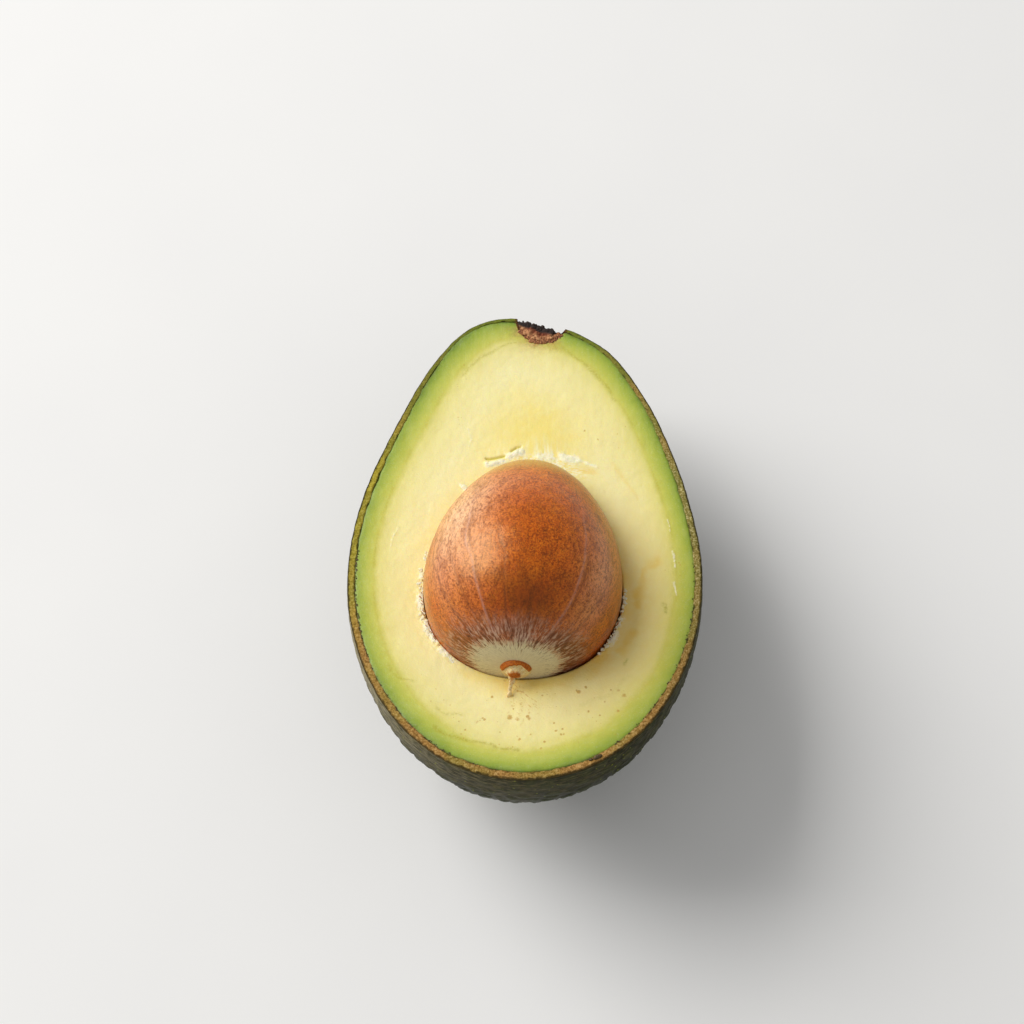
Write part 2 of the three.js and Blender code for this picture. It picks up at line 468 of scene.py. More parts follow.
# ---- material helpers
class Nodes:
    """A short way to write a material's nodes."""

    def __init__(self, name):
        self.material = bpy.data.materials.new(name)
        self.material.use_nodes = True
        self.tree = self.material.node_tree
        self.tree.nodes.clear()
        self.output = self.tree.nodes.new("ShaderNodeOutputMaterial")
        self.shader = self.tree.nodes.new("ShaderNodeBsdfPrincipled")
        self.tree.links.new(self.shader.outputs[0], self.output.inputs["Surface"])
        self.place = self.tree.nodes.new("ShaderNodeTexCoord").outputs["Object"]

    def put(self, socket, value):
        if isinstance(value, bpy.types.NodeSocket):
            self.tree.links.new(value, socket)
        else:
            socket.default_value = value

    def node(self, kind, inputs=(), out=0, **settings):
        made = self.tree.nodes.new("ShaderNode" + kind)
        for key, value in settings.items():
            setattr(made, key, value)
        for key, value in dict(inputs).items():
            self.put(made.inputs[key], value)
        return made.outputs[out]

    def value(self, name):
        return self.node("Attribute", out="Fac", attribute_name=name)

    def vector(self, name):
        return self.node("Attribute", out="Vector", attribute_name=name)

    def math(self, operation, a, b=0.0, c=0.0):
        return self.node("Math", {0: a, 1: b, 2: c}, operation=operation)

    def times(self, a, b):
        return self.math("MULTIPLY", a, b)

    def stirred(self, value, noise, amount):
        """A value moved up and down by a noise, which is a half on average."""
        return self.math("MULTIPLY_ADD", self.math("SUBTRACT", noise, 0.5), amount, value)

    def noise(self, size, detail=3.0, place=None, roughness=0.5):
        """Noise with lumps of that many millimetres, or in the units of place."""
        where = self.place if place is None else place
        scale = METRE / size if place is None else 1.0 / size
        return self.node("TexNoise", {"Vector": where, "Scale": scale, "Detail": detail,
                                      "Roughness": roughness})

    def cells(self, size):
        """Distances to points scattered that many millimetres apart, as shares of it."""
        return self.node("TexVoronoi", {"Vector": self.place, "Scale": METRE / size})

    def span(self, factor, low, high, to_low=0.0, to_high=1.0):
        return self.node("MapRange", {0: factor, 1: low, 2: high, 3: to_low, 4: to_high}, clamp=True)

    def ramp(self, factor, stops):
        made = self.tree.nodes.new("ShaderNodeValToRGB")
        elements = made.color_ramp.elements
        while len(elements) < len(stops):
            elements.new(0.5)
        for element, (position, colour) in zip(elements, stops):
            element.position = position
            element.color = (*colour, 1.0)
        self.put(made.inputs[0], factor)
        return made.outputs[0]

    def tones(self, factor, *stops):
        """A ramp through (position, red, green, blue) stops, coloured as seen on a screen."""
        return self.ramp(factor, [(position, srgb(*colour)) for position, *colour in stops])

    def mix(self, factor, a, b):
        made = self.tree.nodes.new("ShaderNodeMix")
        made.data_type = "RGBA"
        for number, value in ((0, factor), (6, a), (7, b)):
            self.put(made.inputs[number], (*value, 1.0) if isinstance(value, tuple) else value)
        return made.outputs[2]

    def coats(self, colour, *coats):
        """Colours laid over one another, from (how strongly, red, green, blue) of each."""
        for strength, *over in coats:
            colour = self.mix(strength, colour, srgb(*over))
        return colour

    def bumps(self, heights):
        """Bump nodes one on another, from (height, strength, millimetres) of each."""
        normal = None
        for height, strength, distance in heights:
            inputs = {"Height": height, "Strength": strength, "Distance": distance / METRE}
            if normal is not None:
                inputs["Normal"] = normal
            normal = self.node("Bump", inputs)
        self.put(self.shader.inputs["Normal"], normal)

    def finish(self, **values):
        for key, value in values.items():
            self.put(self.shader.inputs[key.replace("_", " ")], value)
        return self.material


def srgb(r, g, b):
    """A colour given as it is seen on a screen, 0 to 255."""
    def linear(c):
        c /= 255.0
        return c / 12.92 if c <= 0.04045 else ((c + 0.055) / 1.055) ** 2.4
    return tuple(linear(c) for c in (r, g, b))


# ---- the peel
def peel_material():
    n = Nodes("peel_skin")
    rim = n.value("rim")  # 0 on the skin, 1 across the cut edge
    # near is also weaker away from the lower left: painted shade
    near = n.value("near")  # 1 just under the cut, 0 a centimetre lower
    wrinkle = n.noise(0.36, 4.0, place=n.vector("wrinkle"), roughness=0.62)
    fine = n.noise(0.5, 5.0, roughness=0.65)
    grit = n.noise(0.38, 5.0, roughness=0.75)
    blotch = n.noise(7.0, 4.0, roughness=0.6)
    skin = n.tones(blotch, (0.30, 20, 25, 11), (0.52, 38, 40, 19), (0.74, 58, 54, 26))
    skin = n.coats(skin, (n.span(n.value("pebble"), 0.1, 0.9, 0.0, 0.7), 54, 62, 26))
    streak = n.tones(wrinkle, (0.34, 34, 33, 18), (0.5, 60, 57, 34), (0.64, 150, 134, 88))
    skin = n.mix(n.times(near, 0.8), skin, streak)
    spot = n.times(n.span(n.cells(1.6), 0.16, 0.07), n.span(n.noise(9.0, 1.0), 0.36, 0.56))
    skin = n.coats(
        skin,
        # pale grey on the band's lit lower left: painted light
        (n.times(n.value("painted_light_grey"), n.span(wrinkle, 0.35, 0.6, 0.2, 0.9)), 166, 155, 122),
        (n.span(fine, 0.56, 0.75, 0.0, 0.35), 112, 100, 52),
        (n.times(spot, 0.8), 142, 146, 52),
    )
    cut = n.tones(grit, (0.32, 96, 66, 26), (0.5, 168, 126, 66), (0.68, 212, 176, 116))
    for name, *stops in (
        ("olive", (0.3, 112, 100, 26), (0.5, 172, 156, 50), (0.7, 206, 192, 96)),
        ("dotted", (0.3, 84, 78, 34), (0.5, 142, 130, 64), (0.66, 214, 204, 150)),
        ("green", (0.3, 92, 98, 34), (0.6, 122, 132, 48), (0.8, 146, 152, 66)),
    ):
        cut = n.mix(n.value(name), cut, n.tones(grit, *stops))
    across = n.stirred(n.value("across"), n.noise(0.9, 4.0), 0.55)
    inner_line = n.times(n.span(across, 0.76, 0.92), n.value("lined"))
    cut = n.coats(
        cut,
        (n.span(across, 0.30, 0.10, 0.0, 0.9), 58, 50, 28),
        (n.times(inner_line, 0.85), 54, 60, 24),
    )
    bark = n.mix(n.span(grit, 0.4, 0.6), srgb(52, 30, 20), srgb(120, 66, 40))
    colour = n.mix(n.value("stem"), n.mix(rim, skin, cut), bark)
    n.bumps([
        (n.noise(1.3, 4.0, roughness=0.6), 0.30, 0.25),
        (wrinkle, n.math("MULTIPLY_ADD", near, 0.35, 0.10), 0.16),
        (fine, 0.45, 0.08),
        (grit, n.times(rim, 0.7), 0.25),
    ])
    shine = n.span(n.noise(2.2, 3.0), 0.3, 0.7, 0.24, 0.42)
    dull = n.math("MAXIMUM", rim, n.times(n.value("upper"), 0.6))
    return n.finish(
        Base_Color=colour,
        Roughness=n.math("MULTIPLY_ADD", dull, 0.34, shine),
        Specular_IOR_Level=n.math("MULTIPLY_ADD", n.value("upper"), -0.36, 0.44),
        Specular_Tint=(1.0, 0.95, 0.78, 1.0),
    )


def facing(angles, middle, width):
    """1 at a direction round the face, in degrees from +X, falling off over width to both sides."""
    return bump(wrapped(angles - math.radians(middle)), 0, math.radians(width))


def thickness_round(angles, line):
    """The peel's thickness, thinnest at the stem end and thickest at the blunt end."""
    base = 1.42 - 0.42 * facing(angles, 92, 48) + 0.16 * facing(angles, 245, 60)
    return base + 0.10 * noise(line, 5.0, 8) + 0.08 * noise(line, 1.1, 9)


def peel():
    """The skin from its resting spot up to the cut, over the cut edge and down inside."""
    down = run(FRUIT)
    near = 1 - ease(down, 2.0, 12.0)
    best, second = scattered(FRUIT, 3.0, 11)
    ridge = ease(second - best, 0.02, 0.45)
    small, small_second = scattered(FRUIT + 3.1, 1.5, 23)
    grain = ease(small_second - small, 0.0, 0.5)
    calm = 0.18 + 0.82 * ease(down, 1.5, 13.0)
    arc = norm(np.diff(RIM_LINE, axis=0, append=RIM_LINE[:1])).cumsum()
    rim_radius = 43.0
    wrinkle = tube(0.22 * rim_radius, arc / rim_radius, down)
    folds = rough(wrinkle, 1.3, 3, 5)
    depth = calm * (0.30 * ridge + 0.08 * grain) + 0.06 * near * folds
    depth += calm * (0.10 * (rough(FRUIT, 3.6, 3, 6) + 1) + 0.10 * (noise(FRUIT, 8.0, 3) + 1))
    outer = FRUIT - FRUIT_NORMALS * (0.72 * calm + 0.08 * near - depth)[..., None]
    outer = stopped(outer, DIRECTIONS, HOLLOW_RADIUS)
    angles = np.arctan2(RIM_LINE[:, 1], RIM_LINE[:, 0])
    thickness = thickness_round(angles, RIM_LINE)
    inner = FRUIT - FRUIT_NORMALS * (thickness + 0.12)[None, :, None]
    inner = stopped(inner, DIRECTIONS, HOLLOW_RADIUS + 0.15)
    top_outer = outer[0] * (1, 1, 0)
    top_inner = inner[0] * (1, 1, 0)
    share = np.linspace(0, 1, RIM_RINGS)[:, None]
    cut = top_outer[None] + (top_inner - top_outer)[None] * share[..., None]
    ragged = 0.12 * rough(cut, 0.8, 3, 31) + 0.05 * noise(cut, 3.0, 32)
    cut[..., 2] = ragged * ease(share, 0.0, 0.15) - 0.25 * (1 - ease(share, 0.0, 0.25))
    cut[..., 2] -= 0.08 * ease(share, 0.8, 1.0)
    parts = outer[::-1], cut, inner[4::6]
    rings = np.concatenate(parts)
    patchy = 0.25 * noise(cut, 4.0, 41)
    at_stem = ease(-norm(rings - HOLLOW), -HOLLOW_RADIUS - 1.0, -HOLLOW_RADIUS - 0.1)
    tinges = {"olive": (1.2, 165, 42), "dotted": (1.1, 5, 45), "green": (1.3, 92, 36)}
    lined = 0.8 * facing(angles, 190, 42) + 0.4 * facing(angles, 330, 40) + 1.6 * noise(cut, 1.0, 42)
    values = {
        "rim": (0, 1, 1),
        # Painted light: the pale streaky band under the cut stays strong on the lower left, the lit
        # side, and fades elsewhere as painted shade; the pale grey on the lower left is painted light
        # too.
        "near": ((near * (0.3 + 0.7 * facing(angles, 206, 46)))[::-1], 1, 0),
        "upper": (1 - ease(down, 5.0, 26.0)[::-1], 1, 0),
        "painted_light_grey": ((0.9 * near * facing(angles, 218, 34))[::-1], 0, 0),
        "across": (0, share, 1),
        "pebble": (ridge[::-1], 0, 0),
        "wrinkle": (wrinkle[::-1], wrinkle[:1], 0),
        "lined": (0, np.clip(lined, 0, 1), 0),
    }
    for name, (strength, middle, width) in tinges.items():
        values[name] = (0, np.clip(strength * facing(angles, middle, width) + patchy, 0, 1), 0)
    values = {name: joined(parts, value) for name, value in values.items()}
    values["stem"] = at_stem
    piece = make("peel_skin", ring_mesh(rings), peel_material(), values)
    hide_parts("peel")
    return inner


# ---- the flesh
def flesh_material():
    n = Nodes("flesh_cut")
    mottled = n.noise(2.6, 3.0)
    fine = n.noise(0.42, 3.0, roughness=0.6)
    fibre = n.vector("fibre")
    streaks = n.noise(1.0, 4.0, place=fibre, roughness=0.6)
    strokes = n.noise(0.5, 3.0, place=fibre, roughness=0.6)
    fibrous = n.value("fibrous")
    # from the outside of the skin, millimetres
    depth = n.stirred(n.stirred(n.value("depth"), mottled, 0.9), fine, 0.9)
    deepest = 20.0
    colour = n.tones(n.math("DIVIDE", depth, deepest), *((stop / deepest, *colour) for stop, *colour in (
        (1.2, 104, 130, 38),
        (2.0, 143, 166, 54),
        (3.3, 178, 190, 74),
        (4.8, 204, 205, 92),
        (5.2, 209, 206, 96),
        (6.2, 230, 222, 136),
        (8.5, 242, 232, 160),
        (13.0, 249, 239, 178),
        (19.0, 250, 237, 168),
    )))
    pale = n.math("MULTIPLY_ADD", fibrous, 0.9, 0.04)
    colour = n.coats(
        colour,
        (n.times(n.value("warm"), n.span(mottled, 0.3, 0.7, 0.6, 1.0)), 249, 226, 118),
        # tan stains, and painted shade beside the seed on the lower right
        (n.times(n.value("tan_with_painted_light"), n.span(mottled, 0.3, 0.7, 0.7, 1.0)), 240, 200, 76),
        (n.span(streaks, 0.54, 0.8, 0.0, 0.10), 236, 206, 104),
        (n.times(n.span(streaks, 0.56, 0.38), pale), 254, 250, 214),
        (n.span(fine, 0.44, 0.26, 0.0, 0.15), 252, 248, 200),
        (n.times(n.span(strokes, 0.50, 0.38), fibrous), 255, 253, 224),
        (n.times(n.value("vein"), n.span(fine, 0.38, 0.62, 0.25, 1.0)), 176, 168, 44),
    )
    for cell, largest in ((2.2, 0.27), (1.1, 0.29)):
        size = n.span(n.noise(2.2 * cell, 2.0), 0.45, 0.68, 0.0, largest)
        size = n.times(n.value("speck"), size)
        uneven = n.stirred(n.cells(cell), fine, 0.30)
        dot = n.span(n.math("SUBTRACT", size, uneven), -0.05, 0.07, 0.0, 0.75)
        colour = n.coats(colour, (n.times(dot, n.math("GREATER_THAN", size, 0.02)), 194, 150, 58))
    thread = n.math("ABSOLUTE", n.math("SUBTRACT", n.noise(2.4, 2.0, place=n.vector("spray")), 0.5))
    thread = n.times(n.span(thread, 0.050, 0.010), n.span(fine, 0.50, 0.60))
    crumbly = n.math("MULTIPLY_ADD", n.noise(0.5, 4.0, roughness=0.75), 1.3, n.value("torn"))
    colour = n.coats(
        colour,
        (n.times(thread, n.value("threads")), 204, 158, 70),
        (n.span(crumbly, 0.88, 1.28), 253, 247, 212),
        (n.times(n.value("crack"), 0.9), 204, 190, 50),
        # dark lines along the skin, and painted shade along the seed's lower right
        (n.value("edge"), 62, 58, 24),
    )
    bark = n.mix(n.span(fine, 0.35, 0.65), srgb(140, 78, 44), srgb(214, 158, 104))
    colour = n.mix(n.value("stem"), colour, bark)
    wet = n.noise(0.30, 3.0, roughness=0.6)
    n.bumps([
        (streaks, 0.10, 0.10),
        (n.noise(1.1, 3.0), 0.25, 0.15),
        (wet, 0.55, 0.08),
        (crumbly, n.times(n.value("torn"), 0.6), 0.3),
    ])
    return n.finish(
        Base_Color=colour,
        Roughness=n.span(wet, 0.3, 0.7, 0.34, 0.56),
        Specular_IOR_Level=0.35,
        Subsurface_Weight=0.30,
        Subsurface_Radius=(1.0, 0.8, 0.3),
        Subsurface_Scale=0.0012,
    )


def along_line(points, line, width, wobble=0.0, seed=0):
    """1 on a line of points on the cut face, falling off over width to both sides."""
    line = np.array(line, float)
    shifts = [noise(points, 2.0, seed + number) for number in (60, 61)]
    p = points[..., :2] + wobble * np.stack(shifts, -1)
    nearest = np.full(points.shape[:-1], 1e9)
    for a, b in zip(line[:-1], line[1:]):
        way = b - a
        t = np.clip(((p - a) @ way) / (way @ way), 0, 1)
        nearest = np.minimum(nearest, norm(p - a - t[..., None] * way))
    return bump(nearest, 0, width)


CRACK = [(-7.0, 16.9), (-5.0, 17.2), (-3.3, 17.6), (-2.2, 18.4), (-1.2, 19.1), (-0.4, 19.6)]
# Ragged places: a line, its half width, how high it stands and how torn it looks.
TORN = [
    ([(-2.9, 17.4), (-0.6, 18.3)], 0.85, 0.22, 0.95),
    ([(-6.8, 15.6), (-4.2, 16.2)], 0.7, 0.2, 0.9),
    ([(2.7, 17.3), (5.0, 17.0)], 0.9, 0.15, 0.6),
    ([(7.4, 17.2), (9.4, 16.5)], 1.0, 0.16, 1.0),
    ([(10.4, 16.2), (13.4, 14.8)], 0.5, 0.08, 0.55),
    ([(-11.6, 11.0), (-10.6, 9.6)], 0.6, 0.2, 0.7),
    ([(-10.2, 23.4), (-9.6, 21.4), (-10.2, 19.6)], 0.28, 0.05, 0.35),
    ([(-23.4, 2.0), (-24.4, -2.0)], 0.25, 0.05, 0.4),
    ([(26.0, 3.0), (26.6, 0.6)], 0.25, 0.05, 0.4),
    ([(27.0, -3.4), (27.5, -6.6)], 0.28, 0.06, 0.5),
    ([(27.3, -10.0), (27.5, -12.5)], 0.28, 0.06, 0.5),
]
# Veins that show olive: a line, its half width and strength.
VEINS = [
    ([(0.3, 43.7), (-2.2, 43.1), (-4.8, 41.8), (-8.6, 39.4), (-12.0, 36.0)], 0.32, 0.55),
    ([(6.6, 42.6), (9.0, 40.6), (12.7, 36.6), (15.0, 33.4), (17.2, 29.6)], 0.36, 0.55),
    ([(-24.5, -26.4), (-22.1, -28.6), (-20.0, -29.7)], 0.30, 0.5),
    ([(-15.9, -38.8), (-13.9, -39.8), (-12.0, -40.4), (-8.1, -41.8), (-4.2, -42.9), (-1.4, -43.4)],
     0.28, 0.7),
    ([(-15.4, -35.2), (-13.1, -36.1), (-10.6, -36.5)], 0.3, 0.4),
    ([(18.6, -29.0), (14.6, -32.4), (10.2, -34.6)], 0.6, 0.16),
    ([(2.4, 43.4), (1.9, 41.4)], 0.22, 0.9),
    ([(4.2, 42.6), (5.0, 41.0)], 0.2, 0.8),
    ([(5.7, 42.7), (6.4, 41.2)], 0.2, 0.7),
    ([(25.2, -14.6), (25.0, -15.8)], 0.3, 0.8),
    ([(18.6, -25.6), (18.0, -26.6)], 0.25, 0.6),
]
# Tan stains: a line, its half width and strength.
STAINS = [
    ([(23.4, -5.4), (21.2, -9.6), (20.4, -15.0)], 0.9, 0.4),
    ([(18.8, -20.6), (17.4, -23.6)], 0.8, 0.35),
    ([(17.0, 15.0), (20.6, 8.0)], 0.5, 0.25),
    ([(-9.8, -28.0), (-3.0, -30.6), (8.0, -29.0), (14.6, -24.6)], 1.6, 0.35),
    ([(9.0, 14.3), (13.4, 14.2)], 0.7, 0.5),
    ([(-17.8, -5.0), (-19.4, -14.0)], 1.4, 0.22),
]


def flesh(inner):
    """The cut face from the seed to the skin, the seed's hollow and the flesh's hidden outside."""
    edge = norm(inner[0][:, :2])
    notch = into_hollow(tube(1, TURN, 0), HOLLOW_RADIUS + 0.1)
    outside = np.minimum(edge + 0.06, notch)
    lower_right = facing(TURN, -58, 24)
    film_left = np.clip(facing(TURN, 215, 19) + 0.6 * facing(TURN, 236, 9), 0, 1)
    film_right = facing(TURN, -53, 12)
    gap = -0.10 + 0.22 * lower_right
    inside = CONTACT + gap
    share = np.linspace(0, 1, FLESH_RINGS)[:, None]
    radius = inside + (outside - inside) * share
    top = tube(radius, TURN, 0)
    x, y = top[..., 0], top[..., 1]
    depth = skin_distance(top) + 0.45 * noise(top, 8.0, 49)
    from_seed = radius - inside
    from_skin = outside - radius
    height = 0.10 * noise(top, 9.0, 50) + 0.035 * noise(top, 3.0, 51) + 0.03 * rough(top, 1.0, 3, 52)
    at_peel = ease(notch - edge, -0.2, 0.6)
    height -= (0.05 + 0.17 * at_peel) * np.exp(-from_skin / 0.25)
    height -= (0.04 + 0.35 * lower_right) * np.exp(-from_seed / 0.25)
    torn = np.zeros(height.shape)
    for line, width, rise, strength in TORN:
        on = along_line(top, line, width, 0.35, len(line))
        height += rise * on * (0.6 + 0.8 * rough(top, 0.8, 3, 54))
        torn = np.maximum(torn, strength * on)
    film = (film_left + 0.7 * film_right) * bump(from_seed, 0.4, 1.0)
    torn = np.maximum(torn, film * ease(rough(top, 1.6, 3, 55), -0.6, 0.3))
    height += film * (0.12 + 0.20 * rough(top, 0.55, 3, 56))
    crack = along_line(top, CRACK, 0.24, 0.35, 2) * ease(noise(top, 1.0, 57), -0.8, -0.1)
    height -= 0.28 * crack
    top[..., 2] = height
    border = bump(depth, 5.15, 0.32)
    shown = 0.45 * facing(TURN, 190, 40) + 0.35 * facing(TURN, 30, 50) + 0.25 * facing(TURN, 130, 25)
    vein = border * shown * ease(noise(top, 2.5, 58), -0.6, 0.3)
    for line, width, strength in VEINS:
        vein = np.maximum(vein, strength * along_line(top, line, width, 0.5, 5))
    # Tan: stains along lines, a faint ring round the seed, and painted shade where the seed's shadow
    # falls.
    tan_with_painted_light = np.zeros(height.shape)
    for line, width, strength in STAINS:
        tan_with_painted_light = np.maximum(tan_with_painted_light, strength * along_line(top, line, width, 0.9, 6))
    tan_with_painted_light = np.maximum(tan_with_painted_light, 0.25 * np.exp(-from_seed / 1.6))
    # Painted shade: the flesh turns a deeper, darker tan on the lower right beside the seed, where the
    # seed's shadow falls.
    shaded = facing(TURN, -45, 55) * bump(from_seed, 0, 9.0)
    tan_with_painted_light = np.clip(tan_with_painted_light + 0.6 * shaded, 0, 1)
    warm = patch(x, 2.9, 10.0, y, 22.0, 9.0)
    warm = np.maximum(0.9 * warm, 0.25 * facing(TURN, 190, 40) * bump(from_seed, 2.6, 1.8))
    fibrous = patch(x, 4.5, 8.0, from_seed, 0.8, 3.0)
    fibrous = fibrous * ease(y, 11.0, 14.0)
    warm = np.maximum(warm, 0.85 * fibrous)
    beside = (1 - ease(from_skin, 0.05, 0.35)) * at_peel
    lower_left = facing(TURN, 215, 38)
    dark = beside * (0.25 + 0.7 * lower_left * ease(noise(top, 0.9, 59), -0.2, 0.4))
    # Painted shade: a dark line along the seed's lower right edge, in the gap on the side away from the
    # light.
    dark = np.maximum(dark, 0.75 * lower_right * (1 - ease(from_seed, 0.03, 0.3)))
    to_hollow = norm(top - HOLLOW) - HOLLOW_RADIUS
    reach_in = 0.16 + 1.0 * ease(-(y + 0.38 * x), -46.6, -45.2)
    at_stem = np.exp(-np.maximum(to_hollow - 0.1, 0) / reach_in) * (0.75 + 0.7 * rough(top, 0.8, 3, 63))
    below = ease(-y, 26.5, 31.0) * ease(depth, 4.6, 6.5) * (1 - 0.6 * facing(TURN, 225, 18))
    few = 0.55 * ease(noise(top, 7.0, 74), 0.35, 0.6) * ease(depth, 2.0, 4.0)
    speck = np.clip(np.maximum(below, few), 0, 1)
    # Thread-like marks spread from a point below the stalk.
    foot = top[..., :2] - (-2.7, -29.0)
    spread = norm(foot)
    turned = np.arctan2(foot[..., 1], foot[..., 0])
    spray = np.stack([9.0 * turned, 0.35 * spread, 0 * spread], -1)
    threads = 0.8 * patch(turned, -1.05, 0.55, spread, 4.5, 4.5)
    long_way = np.stack([x, 0.12 * y, 0 * height], -1)
    round_way = tube(9.0, TURN, 0.9 * radius)
    mixing = ease(y, 10.0, 18.0)[..., None]
    fibre = long_way * mixing + round_way * (1 - mixing)

    # The hidden bowl under the seed, and the hidden wall under the peel.
    polar = np.linspace(0.05, 1.0, CAVITY_RINGS)[:, None] * math.pi / 2
    middle = SEED_MIDDLE[:2]
    lowest = SEED_MIDDLE[2] - 19.2
    shrink = np.maximum(np.cos(polar), 0.02)[..., None]
    cavity = np.empty((CAVITY_RINGS, AROUND, 3))
    cavity[..., :2] = middle + (tube(inside, TURN, 0)[:, :2] - middle) * shrink
    cavity[..., 2] = (lowest - 0.6) * np.sin(polar) - 0.6
    rows = slice(3, None, 7)
    wall = inner[rows] * (1 - 0.12 / norm(inner[rows]))[..., None]
    wall = stopped(wall, DIRECTIONS[rows], HOLLOW_RADIUS + 0.3)
    parts = cavity[::-1], top, wall
    values = {"warm": warm, "tan_with_painted_light": tan_with_painted_light, "vein": vein, "speck": speck, "threads": threads, "spray": spray,
              "torn": torn, "fibrous": fibrous, "crack": crack, "fibre": fibre}
    values = {name: (0, value, 0) for name, value in values.items()}
    values["depth"] = (12.0, depth, 1.6)
    values["edge"] = (0.3, dark, 0.3)
    values["stem"] = (0, np.clip(at_stem, 0, 1), 0.8)
    values = {name: joined(parts, value) for name, value in values.items()}
    piece = make("flesh_cut", ring_mesh(np.concatenate(parts)), flesh_material(), values)
    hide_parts("flesh")


# ---- crumbs and flakes
def lump(place, size, turn, number):
    """A small rough closed lump: its middle, half sizes and how far it's turned about +Z, in degrees."""
    rings, around = 15, 24
    ways, _ = ball(np.linspace(0.05, math.pi - 0.05, rings), turns(around))
    shape = ways * (1 + 0.30 * rough(ways + number * 3.7, 1.1, 3, number))[..., None] * np.array(size)
    c, s = math.cos(math.radians(turn)), math.sin(math.radians(turn))
    turned = shape @ np.array([(c, s, 0), (-s, c, 0), (0, 0, 1)])
    return ring_mesh(np.asarray(place) + turned)


def scatter(name, lumps, material):
    """Many lumps as one object."""
    parts, count = [], 0
    for number, (place, size, turn) in enumerate(lumps):
        points, *kinds = lump(place, size, turn, number)
        parts.append([points, *(faces + count for faces in kinds)])
        count += len(points)
    return make(name, [np.concatenate(part) for part in zip(*parts)], material)


def crumb_material(name, dark, light, roughness, glow=0.0):
    n = Nodes(name)
    fine = n.noise(0.3, 4.0, roughness=0.65)
    n.bumps([(fine, 0.6, 0.1)])
    return n.finish(
        Base_Color=n.tones(fine, (0.35, *dark), (0.65, *light)),
        Roughness=roughness,
        Subsurface_Weight=glow,
        Subsurface_Radius=(1.0, 0.8, 0.5),
        Subsurface_Scale=0.0006,
    )


def draws(count, columns, seed):
    """Steady random numbers from 0 to 1, in rows."""
    i, j = np.meshgrid(np.arange(count), np.arange(columns), indexing="ij")
    return chance(np.stack([i, j, 0 * i], -1), seed)


def spots(drawn, angles, radii, height):
    """Of many spots round the face's middle: their random numbers, places and directions in degrees."""
    return zip(drawn, tube(radii, angles, height), np.degrees(angles))


def beside_seed(height, *stretches):
    """Spots just outside the seed, a stretch being its two directions, reach, count and random seed."""
    for low, high, outward, count, seed in stretches:
        drawn = draws(count, 6, seed)
        angles = np.radians(low + (high - low) * drawn[:, 0])
        radii = np.interp(angles, TURN, CONTACT, period=2 * math.pi) + 0.1 + outward * drawn[:, 1] ** 1.7
        yield from spots(drawn, angles, radii, height)


def crumbs():
    """Torn flesh beside the seed, flecks of the seed's coat and crumbs of peel left by the knife."""
    pale = [
        ((-2.0, 17.6, -0.06), (1.5, 0.62, 0.22), 20),
        ((-0.7, 18.2, -0.06), (0.9, 0.8, 0.22), 40),
        ((-5.8, 15.8, -0.06), (1.5, 0.55, 0.2), 14),
        ((-4.4, 16.2, -0.06), (0.9, 0.45, 0.18), 22),
        ((-11.1, 10.6, -0.06), (0.55, 0.8, 0.18), 60),
    ]
    for d, place, _ in beside_seed(0.0, (190, 244, 0.9, 120, 110), (298, 330, 0.6, 80, 111)):
        wide = 0.07 + 0.22 * d[2] ** 2
        pale.append((place, (wide * (1 + 0.8 * d[3]), wide, 0.04 + 0.2 * wide * d[4]), 360 * d[5]))
    white = crumb_material("torn_flesh", (250, 240, 184), (255, 251, 222), 0.42, 0.3)
    scatter("torn_flesh", pale, white)
    flecks = []
    for d, place, angle in beside_seed(0.08, (205, 240, 0.4, 20, 120), (302, 318, 0.25, 8, 121)):
        size = (0.06 + 0.06 * d[2], 0.12 + 0.30 * d[3], 0.07)
        flecks.append((place, size, angle + 20 * (d[4] - 0.5)))
    brown = crumb_material("coat_flecks", (140, 80, 40), (196, 136, 80), 0.6)
    scatter("coat_flecks", flecks, brown)
    grit = [((12.6, -44.7, 0.1), (0.75, 0.4, 0.35), 24), ((11.4, -45.2, 0.05), (0.4, 0.25, 0.25), 10)]
    drawn = draws(170, 5, 130)
    angles = np.radians(185 + 75 * drawn[:, 0])
    angles[120:] = np.radians(-70 + 60 * drawn[120:, 0])
    edge = np.interp(angles, TURN, norm(RIM_LINE[:, :2]), period=2 * math.pi)
    for d, place, angle in spots(drawn, angles, edge - 1.55 - 0.35 * drawn[:, 1], -0.02):
        grit.append((place, (0.05 + 0.09 * d[2], 0.07 + 0.16 * d[2] * d[3], 0.07), angle))
    scatter("peel_grit", grit, crumb_material("peel_grit", (40, 36, 18), (112, 88, 44), 0.7))


